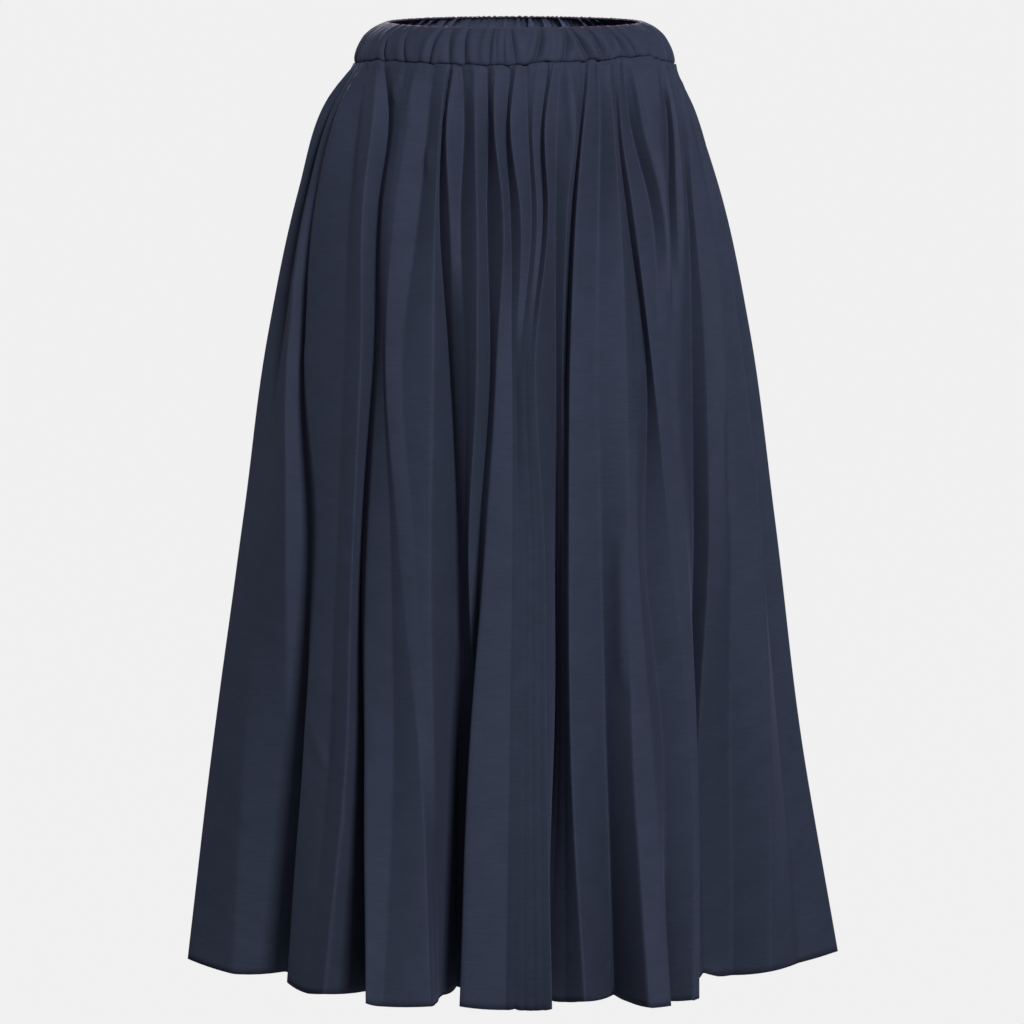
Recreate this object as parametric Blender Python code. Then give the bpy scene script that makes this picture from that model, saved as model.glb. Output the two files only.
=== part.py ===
"""Pleated midi skirt: a pull-on skirt of accordion-pleated cloth gathered into an elastic waistband.

The skirt hangs as worn, hollow and open at the waist and the hem. The origin is the centre of the waist
opening, half-way up the waistband. The front faces -Y, +X is the viewer's right and +Z is up. Metres.
"""

import math
import random

import bpy
import numpy as np

# Driving dimensions
CLOTH_RUN = 0.782  # from the waistband seam down a pleat to the hem
BAND_HEIGHT = 0.031
BAND_WALL = 0.0042  # the casing, two layers of cloth over the elastic
CLOTH_WALL = 0.0018
SEAM_GAP = 0.0003  # between pieces where they are sewn together

# Level rings down the skirt: name, run down the cloth, half width and half depth of the outline
RINGS = (
    ("seam", 0.000, 0.1355, 0.1025),
    ("yoke", 0.040, 0.1545, 0.1170),
    ("hip", 0.120, 0.1790, 0.1310),
    ("thigh", 0.240, 0.2025, 0.1460),
    ("knee", 0.400, 0.2247, 0.1630),
    ("calf", 0.580, 0.2470, 0.1840),
    ("hem", CLOTH_RUN, 0.2765, 0.2070),
)
LEVELS = [ring[0] for ring in RINGS]
RUNS = [ring[1] for ring in RINGS]
HALF_WIDTHS = [ring[2] for ring in RINGS]
HALF_DEPTHS = [ring[3] for ring in RINGS]

# The folds of the front panel, from its left side seam to its right one. The first seven columns say where a
# fold lies across the skirt at each ring, as a share of the half width there. The last five say how far it
# stands forward of the side seams at five of the rings, as a share of the half depth. A fold that has opened
# out flat has None and lies on the cloth between its neighbours.
ACROSS_AT = LEVELS
FORWARD_AT = ["yoke", "thigh", "knee", "calf", "hem"]
FLAT = None
FRONT_FOLDS = (
    # name, across at seam, yoke, hip, thigh, knee, calf, hem, forward at yoke, thigh, knee, calf, hem
    ("seam_left", -0.97, -0.95, -0.93, -0.92, -0.91, -0.91, -0.90, 0, 0, 0, 0, 0),
    ("side_left", -1.00, -1.02, -1.01, -1.02, -1.02, -1.03, -1.01, 0.14, 0.17, 0.18, 0.18, 0.20),
    ("left_1", -0.98, -0.96, -0.96, -0.95, -0.95, -0.92, -0.86, 0.21, 0.28, 0.31, 0.34, 0.33),
    ("left_2", -0.97, -0.97, -0.96, -0.93, -0.85, -0.77, -0.70, 0.30, 0.43, 0.48, 0.41, 0.29),
    ("left_3", -0.95, -0.94, -0.92, -0.86, -0.76, -0.69, -0.58, 0.36, 0.40, 0.43, 0.41, 0.41),
    ("left_4", -0.94, -0.93, -0.90, -0.86, -0.73, -0.71, -0.69, 0.45, 0.50, 0.63, 0.63, 0.57),
    ("left_5", -0.90, -0.82, -0.75, -0.69, -0.65, -0.62, -0.62, 0.54, 0.68, 0.71, 0.71, 0.69),
    ("left_6", -0.85, -0.75, -0.69, -0.62, -0.59, -0.56, -0.57, 0.66, 0.77, 0.79, 0.79, 0.76),
    ("left_7", -0.80, -0.67, -0.62, -0.57, -0.56, -0.49, -0.40, 0.62, 0.64, 0.60, 0.56, 0.47),
    ("left_8", -0.75, -0.64, -0.60, -0.55, -0.54, -0.50, -0.44, 0.72, 0.74, 0.78, 0.84, 0.99),
    ("left_9", -0.66, -0.60, -0.57, -0.53, -0.45, -0.40, -0.39, 0.78, 0.80, 0.85, 0.87, 0.96),
    ("left_10", -0.58, -0.55, -0.54, -0.52, -0.42, -0.31, -0.24, 0.82, 0.83, 0.89, 0.94, 1.01),
    ("left_11", -0.50, -0.45, -0.43, -0.45, FLAT, FLAT, FLAT, 0.83, 0.85, FLAT, FLAT, FLAT),
    ("left_12", -0.41, -0.38, -0.35, -0.32, -0.30, -0.26, -0.22, 0.91, 0.93, 0.94, 0.91, 0.77),
    ("left_13", -0.39, -0.37, -0.34, -0.26, -0.20, -0.18, -0.17, 0.83, 0.72, 0.65, 0.52, 0.42),
    ("left_14", -0.37, -0.35, -0.29, -0.24, FLAT, FLAT, FLAT, 0.93, 0.80, FLAT, FLAT, FLAT),
    ("left_15", -0.32, -0.26, -0.24, FLAT, FLAT, FLAT, FLAT, 0.86, FLAT, FLAT, FLAT, FLAT),
    ("left_16", -0.24, -0.20, -0.16, -0.14, -0.16, -0.12, -0.10, 0.97, 0.97, 0.84, 0.69, 0.60),
    ("left_17", -0.17, -0.13, -0.12, -0.09, -0.12, -0.08, -0.07, 0.87, 0.82, 0.79, 0.65, 0.59),
    ("left_18", -0.12, -0.10, -0.04, -0.06, -0.10, -0.15, -0.16, 0.99, 0.92, 0.92, 0.94, 0.94),
    ("centre_1", -0.02, -0.03, -0.01, 0.00, 0.00, -0.01, -0.02, 0.90, 0.90, 0.93, 0.94, 0.97),
    ("centre_2", 0.01, -0.01, 0.04, FLAT, FLAT, FLAT, FLAT, 0.99, FLAT, FLAT, FLAT, FLAT),
    ("centre_3", 0.07, 0.08, 0.09, FLAT, FLAT, FLAT, FLAT, 0.90, FLAT, FLAT, FLAT, FLAT),
    ("centre_4", 0.14, 0.11, FLAT, FLAT, FLAT, FLAT, FLAT, 0.93, FLAT, FLAT, FLAT, FLAT),
    ("centre_5", 0.21, 0.16, FLAT, FLAT, FLAT, FLAT, FLAT, 0.89, FLAT, FLAT, FLAT, FLAT),
    ("right_1", 0.24, 0.18, 0.17, 0.10, 0.12, 0.12, 0.12, 0.97, 0.99, 0.99, 1.01, 1.10),
    ("right_2", 0.28, 0.24, 0.20, 0.18, 0.16, 0.14, 0.04, 0.90, 0.76, 0.70, 0.62, 0.62),
    ("right_3", 0.34, 0.34, 0.26, 0.21, FLAT, FLAT, FLAT, 0.94, 0.82, FLAT, FLAT, FLAT),
    ("right_4", 0.43, 0.37, 0.28, 0.23, FLAT, FLAT, FLAT, 0.84, 0.78, FLAT, FLAT, FLAT),
    ("right_5", 0.46, 0.39, 0.30, 0.24, 0.21, 0.20, 0.22, 0.91, 0.93, 0.92, 0.91, 0.94),
    ("right_6", 0.51, 0.47, 0.40, 0.35, 0.33, 0.32, 0.31, 0.78, 0.85, 0.82, 0.76, 0.67),
    ("right_7", 0.57, 0.54, 0.50, 0.47, 0.43, 0.41, 0.41, 0.83, 0.86, 0.89, 0.93, 1.05),
    ("right_8", FLAT, FLAT, FLAT, FLAT, 0.47, 0.48, 0.48, FLAT, FLAT, 0.86, 0.88, 1.02),
    ("right_9", 0.61, 0.56, 0.53, 0.55, 0.49, 0.51, 0.45, 0.74, 0.69, 0.73, 0.73, 0.76),
    ("right_10", 0.64, 0.58, 0.56, 0.57, 0.59, 0.61, 0.55, 0.77, 0.79, 0.78, 0.77, 0.86),
    ("right_11", 0.66, 0.62, 0.64, FLAT, FLAT, FLAT, FLAT, 0.66, FLAT, FLAT, FLAT, FLAT),
    ("swell", 0.73, 0.69, 0.70, FLAT, FLAT, FLAT, FLAT, 0.72, FLAT, FLAT, FLAT, FLAT),
    ("right_12", 0.88, 0.83, 0.73, 0.67, 0.65, 0.63, 0.57, 0.45, 0.68, 0.69, 0.73, 0.77),
    ("right_13", 0.91, 0.86, 0.77, 0.70, FLAT, FLAT, FLAT, 0.50, 0.63, FLAT, FLAT, FLAT),
    ("right_14", 0.93, 0.89, 0.82, 0.74, 0.68, 0.60, 0.54, 0.34, 0.50, 0.46, 0.40, 0.48),
    ("right_15", 0.95, 0.93, 0.85, 0.80, 0.74, 0.64, 0.59, 0.34, 0.57, 0.57, 0.46, 0.30),
    ("right_16", 0.96, 0.95, 0.93, 0.88, 0.82, 0.75, 0.68, 0.29, 0.38, 0.38, 0.30, 0.24),
    ("right_17", 0.98, 0.98, 0.97, 0.95, 0.94, 0.89, 0.80, 0.26, 0.29, 0.31, 0.33, 0.31),
    ("right_18", 0.99, 0.96, 0.95, 0.94, 0.93, 0.92, 0.89, 0.18, 0.19, 0.20, 0.18, 0.14),
    ("side_right", 1.00, 0.98, 0.99, 1.00, 1.00, 1.00, 1.02, 0.10, 0.11, 0.10, 0.08, 0.05),
    ("seam_right", 0.97, 0.95, 0.93, 0.92, 0.91, 0.91, 0.90, 0, 0, 0, 0, 0),
)
SEWN_DEPTH = 0.35  # the share of a gather's depth that is left where it is sewn into the band
SEWN_LEAST = 0.8  # no gather sinks further in there than this share of the outline
SIDE_KEPT = 0.6  # the least share of a fold's yoke place that it keeps there, for the folds at the sides
SIDE_OUTLINE = 0.2  # the outline's depth is taken as no less than this when depths are compared

# The hem isn't level: how much longer the cloth is than its driving length, at each place across the hem
HEM_LONGER = (
    # name, across at the hem as a share of the half width, mm longer
    ("side_left", -1.00, 6.0),
    ("left_outer", -0.78, 7.5),
    ("left", -0.58, 8.0),
    ("left_low", -0.40, 6.0),
    ("left_fold", -0.24, 5.5),
    ("left_rise", -0.21, 0.0),
    ("left_centre", -0.17, 3.0),
    ("centre", 0.10, 3.0),
    ("right_centre", 0.20, 0.0),
    ("right_inner", 0.35, 1.0),
    ("right_low", 0.42, 5.0),
    ("right", 0.55, 4.5),
    ("right_fold", 0.64, 9.0),
    ("right_outer", 0.85, 5.5),
    ("side_right", 1.00, 3.5),
)

# The back panel: the same pleats turned half round, moved sideways and deepened unevenly
BACK_SHIFT = 0.035  # the most that a fold moves across, as a share of the half width
BACK_SHIFT_WAVE = (7.0, 0.8)  # rate across the back and phase of that shift, in radians
BACK_DEPTH = 0.85  # the mean depth of its folds beside the front's
BACK_VARIES = 0.25  # how much that depth varies across the back
BACK_DEPTH_WAVE = (9.0, 2.0)
BACK_SIDES = 2.5  # how fast that change fades in from the side seams
BACK_WIDEST = 0.98  # no fold of the back reaches further across than this share of the half width

WALL_ROWS = 13  # rows of points down a panel
PANEL_BULGE = 0.035  # how far a panel between two folds rounds out, as a share of its width
MITER_LIMIT = 2.2  # the longest offset at a sharp fold, in wall thicknesses
LEAST_DROP = 0.3  # each step down a line drops at least this share of its length

# Waistband: the outline of the casing at six levels above the seam
BAND_PROFILE = (
    # name, share of the height, half width, half depth
    ("seam", 0.00, 0.1355, 0.1025),
    ("low", 0.14, 0.1346, 0.1022),
    ("middle", 0.45, 0.1302, 0.0995),
    ("upper", 0.72, 0.1236, 0.0955),
    ("shoulder", 0.90, 0.1155, 0.0915),
    ("top", 1.00, 0.1085, 0.0885),
)
BAND_GATHERS = 46
BAND_STEPS = 3  # columns to each gather
GATHER_HEIGHT = 0.0016
GATHER_SLANT = 0.5  # the most that a gather leans, in columns from seam to top
GATHER_ENDS = (0.15, 0.85)  # a gather fades towards the seam and the top, as places on a half wave
BAND_TOP_FOLD = 0.3  # how far the top rounds down inside, as a share of the wall
BAND_SEED = 5

NAVY = (0.017, 0.022, 0.055, 1.0)
ROUGHNESS = 0.72


def clear_scene():
    for old in list(bpy.data.objects):
        bpy.data.objects.remove(old, do_unlink=True)


def cloth_material(name):
    material = bpy.data.materials.new(name)
    material.use_nodes = True
    shader = material.node_tree.nodes["Principled BSDF"]
    shader.inputs["Base Color"].default_value = NAVY
    shader.inputs["Roughness"].default_value = ROUGHNESS
    shader.inputs["Metallic"].default_value = 0.0
    return material


def smooth_curve(knots, values, at):
    """A smooth curve through the values at the knots, read at each place in at."""
    knots = np.asarray(knots, float)
    values = np.asarray(values, float)
    steps = np.diff(knots)
    rises = np.diff(values) / steps
    slopes = np.empty(len(knots))
    slopes[0] = rises[0]
    slopes[-1] = rises[-1]
    weights = steps[1:] + steps[:-1]
    slopes[1:-1] = (rises[:-1] * steps[1:] + rises[1:] * steps[:-1]) / weights
    place = np.clip(np.searchsorted(knots, at, side="right") - 1, 0, len(steps) - 1)
    u = (at - knots[place]) / steps[place]
    start = (1 + 2 * u) * (1 - u) ** 2 * values[place] + u * (1 - u) ** 2 * steps[place] * slopes[place]
    end = u * u * (3 - 2 * u) * values[place + 1] - u * u * (1 - u) * steps[place] * slopes[place + 1]
    return start + end


def opened_flat(column):
    """A table column as numbers: a fold that has opened flat lies evenly between its neighbours."""
    known = [i for i, value in enumerate(column) if value is not None]
    return np.interp(range(len(column)), known, [column[i] for i in known])


def fold_lines(folds, side):
    """The folds of a panel as lines down the cloth: arrays of X and Y, a row for each fold."""
    runs = np.linspace(0, CLOTH_RUN, WALL_ROWS)
    across = np.array([opened_flat([row[1 + k] for row in folds]) for k in range(len(ACROSS_AT))])
    first = 1 + len(ACROSS_AT)
    forward = np.array([opened_flat([row[first + k] for row in folds]) for k in range(len(FORWARD_AT))])
    yoke_outline = np.sqrt(np.maximum(0, 1 - across[1] ** 2))
    seam_outline = np.sqrt(np.maximum(0, 1 - across[0] ** 2))
    gathered = 1 - SEWN_DEPTH * (1 - forward[0] / np.maximum(yoke_outline, SIDE_OUTLINE))
    at_seam = np.maximum(seam_outline * np.clip(gathered, SEWN_LEAST, 1.0), SIDE_KEPT * forward[0])
    forward = np.vstack([at_seam, forward])
    forward_runs = [0.0] + [RUNS[LEVELS.index(level)] for level in FORWARD_AT]
    half_width = smooth_curve(RUNS, HALF_WIDTHS, runs)
    half_depth = smooth_curve(RUNS, HALF_DEPTHS, runs)
    xs = np.array([smooth_curve(RUNS, across[:, i], runs) * half_width for i in range(len(folds))])
    ys = np.array([smooth_curve(forward_runs, forward[:, i], runs) * half_depth for i in range(len(folds))])
    ys[0] = SEAM_GAP / 2
    ys[-1] = SEAM_GAP / 2
    return runs, xs, side * ys


def rounded_panels(xs, ys, side):
    """Adds the middle of each panel between two folds, rounded a little outwards."""
    turn = side * np.sign(xs[-1, 0] - xs[0, 0])
    columns = [(xs[0], ys[0])]
    for i in range(len(xs) - 1):
        dx = xs[i + 1] - xs[i]
        dy = ys[i + 1] - ys[i]
        middle_x = (xs[i] + xs[i + 1]) / 2 - turn * dy * PANEL_BULGE
        middle_y = (ys[i] + ys[i + 1]) / 2 + turn * dx * PANEL_BULGE
        columns.append((middle_x, middle_y))
        columns.append((xs[i + 1], ys[i + 1]))
    return np.array([c[0] for c in columns]), np.array([c[1] for c in columns])


def hung(runs, xs, ys):
    """Each line's height at each step: the cloth keeps its length, so a line that spreads drops less."""
    shares = [row[1] for row in HEM_LONGER]
    longer = np.interp(xs[:, -1] / HALF_WIDTHS[-1], shares, [row[2] / 1000 for row in HEM_LONGER])
    step = np.diff(runs) * (1 + longer / CLOTH_RUN)[:, None]
    level = np.diff(xs, axis=1) ** 2 + np.diff(ys, axis=1) ** 2
    drop = np.sqrt(np.maximum(step**2 - level, (LEAST_DROP * step) ** 2))
    top = -BAND_HEIGHT / 2 - SEAM_GAP
    return top - np.hstack([np.zeros((len(xs), 1)), np.cumsum(drop, axis=1)])


def inner_offsets(xs, ys, inward):
    """Plan offsets of one row of points towards the hollow, mitred at the folds and square at the ends."""
    points = np.stack([xs, ys], axis=1)
    along = np.diff(points, axis=0)
    along /= np.maximum(np.linalg.norm(along, axis=1), 1e-9)[:, None]
    normals = inward * np.stack([-along[:, 1], along[:, 0]], axis=1)
    before = np.vstack([normals[:1], normals])
    after = np.vstack([normals, normals[-1:]])
    middle = before + after
    length = np.maximum(np.linalg.norm(middle, axis=1), 1e-6)
    middle /= length[:, None]
    stretch = np.minimum(2.0 / length, MITER_LIMIT)
    offsets = middle * stretch[:, None]
    for end in (0, -1):
        offsets[end] = (-np.sign(points[end, 0]), 0.0)
    return offsets


def closed_wall(name, outer, inner, collection):
    """A closed cloth wall between an outer and an inner grid of points, columns by rows."""
    columns, rows = outer.shape[:2]
    points = np.vstack([outer.reshape(-1, 3), inner.reshape(-1, 3)])
    faces = []
    shift = columns * rows

    def at(i, j, layer):
        return layer * shift + i * rows + j

    for i in range(columns - 1):
        for j in range(rows - 1):
            faces.append((at(i, j, 0), at(i, j + 1, 0), at(i + 1, j + 1, 0), at(i + 1, j, 0)))
            faces.append((at(i, j, 1), at(i + 1, j, 1), at(i + 1, j + 1, 1), at(i, j + 1, 1)))
        faces.append((at(i, 0, 0), at(i + 1, 0, 0), at(i + 1, 0, 1), at(i, 0, 1)))
        low = rows - 1
        faces.append((at(i, low, 0), at(i, low, 1), at(i + 1, low, 1), at(i + 1, low, 0)))
    for j in range(rows - 1):
        last = columns - 1
        faces.append((at(0, j, 0), at(0, j, 1), at(0, j + 1, 1), at(0, j + 1, 0)))
        faces.append((at(last, j, 0), at(last, j + 1, 0), at(last, j + 1, 1), at(last, j, 1)))
    return add_mesh(name, points, faces, collection)


def add_mesh(name, points, faces, collection):
    mesh = bpy.data.meshes.new(name)
    mesh.from_pydata(points.tolist(), [], faces)
    mesh.update()
    mesh.shade_smooth()
    mesh.set_sharp_from_angle(angle=math.radians(40))
    piece = bpy.data.objects.new(name, mesh)
    piece.data.materials.append(cloth_material(name))
    collection.objects.link(piece)
    return piece


def skirt_panel(name, folds, side, collection):
    """One pleated panel from its fold table. side is -1 for the front and 1 for the back."""
    runs, xs, ys = fold_lines(folds, side)
    xs, ys = rounded_panels(xs, ys, side)
    zs = hung(runs, xs, ys)
    outer = np.stack([xs, ys, zs], axis=2)
    inward = 1 if side * (xs[-1, 0] - xs[0, 0]) < 0 else -1
    inner = outer.copy()
    for j in range(len(runs)):
        inner[:, j, :2] += CLOTH_WALL * inner_offsets(xs[:, j], ys[:, j], inward)
    return closed_wall(name, outer, inner, collection)


def outline_depth(share):
    """The depth of the elliptical outline at a place across it, as a share of the half depth."""
    return math.sqrt(max(0.0, 1 - share * share))


def back_fold(across, forward):
    """One fold of the front, turned half round to the back, moved across and deepened."""
    moved = []
    for share in across:
        if share is FLAT:
            moved.append(FLAT)
            continue
        shift = BACK_SHIFT * math.sin(BACK_SHIFT_WAVE[0] * share + BACK_SHIFT_WAVE[1])
        place = -share + shift * max(0.0, 1 - share * share)
        moved.append(max(-BACK_WIDEST, min(BACK_WIDEST, place)))
    deepened = []
    for level, stand in zip(FORWARD_AT, forward):
        if stand is FLAT or stand == 0:
            deepened.append(stand)
            continue
        share = across[LEVELS.index(level)]
        scale = BACK_DEPTH + BACK_VARIES * math.sin(BACK_DEPTH_WAVE[0] * share + BACK_DEPTH_WAVE[1])
        depth = (outline_depth(share) - stand) * scale
        central = min(1.0, BACK_SIDES * (1 - abs(share)))
        stand_behind = outline_depth(moved[LEVELS.index(level)]) - depth
        deepened.append(stand + central * (stand_behind - stand))
    return moved + deepened


def back_folds():
    """The fold table of the back panel, from its right side seam to its left one."""
    rows = []
    for name, *shares in FRONT_FOLDS:
        across = shares[: len(ACROSS_AT)]
        forward = shares[len(ACROSS_AT) :]
        rows.append((name, *back_fold(across, forward)))
    return rows


def waistband(collection):
    """The elastic casing: a ring of cloth, puffed at its top fold and pulled into gathers."""
    chance = random.Random(BAND_SEED)
    count = BAND_GATHERS * BAND_STEPS
    heights = [chance.uniform(0.35, 1.0) for _ in range(BAND_GATHERS)]
    slants = [chance.uniform(-GATHER_SLANT, GATHER_SLANT) for _ in range(BAND_GATHERS)]
    rows = len(BAND_PROFILE)
    outer = np.zeros((count, rows, 3))
    inner = np.zeros((count, rows, 3))
    for i in range(count):
        gather, step = divmod(i, BAND_STEPS)
        stand = heights[gather] * (GATHER_HEIGHT if step == 0 else -GATHER_HEIGHT / 2)
        for j, (_, share, width, depth) in enumerate(BAND_PROFILE):
            bearing = 2 * math.pi * (i + slants[gather] * (share - 0.5)) / count
            swell = stand * math.sin(math.pi * (GATHER_ENDS[0] * (1 - share) + GATHER_ENDS[1] * share))
            z = BAND_HEIGHT * (share - 0.5)
            outer[i, j] = ((width + swell) * math.cos(bearing), (depth + swell) * math.sin(bearing), z)
            inner_z = z - BAND_TOP_FOLD * BAND_WALL if j == rows - 1 else z
            inner[i, j] = (
                (width - BAND_WALL) * math.cos(bearing),
                (depth - BAND_WALL) * math.sin(bearing),
                inner_z,
            )
    points = np.vstack([outer.reshape(-1, 3), inner.reshape(-1, 3)])
    shift = count * rows
    faces = []
    for i in range(count):
        n = (i + 1) % count
        for j in range(rows - 1):
            a, b = i * rows + j, n * rows + j
            faces.append((a, b, b + 1, a + 1))
            faces.append((shift + a, shift + a + 1, shift + b + 1, shift + b))
        a, b = i * rows, n * rows
        faces.append((a, shift + a, shift + b, b))
        a, b = i * rows + rows - 1, n * rows + rows - 1
        faces.append((a, b, shift + b, shift + a))
    return add_mesh("waistband", points, faces, collection)


def main():
    clear_scene()
    collection = bpy.data.collections.new("pleated_midi_skirt")
    bpy.context.scene.collection.children.link(collection)
    waistband(collection)
    skirt_panel("skirt_front", FRONT_FOLDS, -1, collection)
    skirt_panel("skirt_back", back_folds(), 1, collection)


main()
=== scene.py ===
"""Looks of the pleated midi skirt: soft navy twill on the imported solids, in plain studio light.

The skirt hangs as worn. The front faces -Y, +X is the viewer's right and +Z is up. Metres.
"""

import math
import random

import bpy
import numpy as np
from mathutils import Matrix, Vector, noise


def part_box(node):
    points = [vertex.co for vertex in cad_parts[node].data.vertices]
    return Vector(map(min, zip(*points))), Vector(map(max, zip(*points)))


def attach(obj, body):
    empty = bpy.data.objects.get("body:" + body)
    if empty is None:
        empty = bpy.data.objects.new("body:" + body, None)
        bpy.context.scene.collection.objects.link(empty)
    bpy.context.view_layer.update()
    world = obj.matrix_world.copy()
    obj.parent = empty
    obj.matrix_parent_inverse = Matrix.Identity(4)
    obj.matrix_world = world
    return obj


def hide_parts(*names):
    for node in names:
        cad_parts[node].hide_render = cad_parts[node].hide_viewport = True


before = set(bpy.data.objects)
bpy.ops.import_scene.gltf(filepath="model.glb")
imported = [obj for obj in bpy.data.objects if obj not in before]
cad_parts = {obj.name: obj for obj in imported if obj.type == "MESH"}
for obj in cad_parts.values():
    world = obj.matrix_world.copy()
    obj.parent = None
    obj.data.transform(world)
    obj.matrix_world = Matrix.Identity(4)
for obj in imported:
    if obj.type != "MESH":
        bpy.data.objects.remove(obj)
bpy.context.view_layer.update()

# Sizes taken from the frame
BAND_LOW, BAND_HIGH = (corner[2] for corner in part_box("waistband"))
BAND_HEIGHT = BAND_HIGH - BAND_LOW
SEAM_GAP = 0.0003
PANEL_TOP = BAND_LOW - SEAM_GAP

# Cloth, in metres
CLOTH_RUN = 0.782  # from the waistband seam down a pleat to the hem
CLOTH_WALL = 0.0009
HEM_TURN = 0.026  # the height of the turned-up hem
HEM_WALL = 0.0017
SEAM_LAP = 0.0008  # how far the two panels overlap at the side seams

# Level rings down the skirt: name, run down the cloth, half width and half depth of the outline
RINGS = (
    ("seam", 0.000, 0.1355, 0.1025),
    ("yoke", 0.040, 0.1545, 0.1170),
    ("hip", 0.120, 0.1790, 0.1310),
    ("thigh", 0.240, 0.2025, 0.1460),
    ("knee", 0.400, 0.2247, 0.1630),
    ("calf", 0.580, 0.2470, 0.1840),
    ("hem", CLOTH_RUN, 0.2765, 0.2070),
)
LEVELS = [ring[0] for ring in RINGS]
RUNS = [ring[1] for ring in RINGS]
HALF_WIDTHS = [ring[2] for ring in RINGS]
HALF_DEPTHS = [ring[3] for ring in RINGS]

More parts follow.
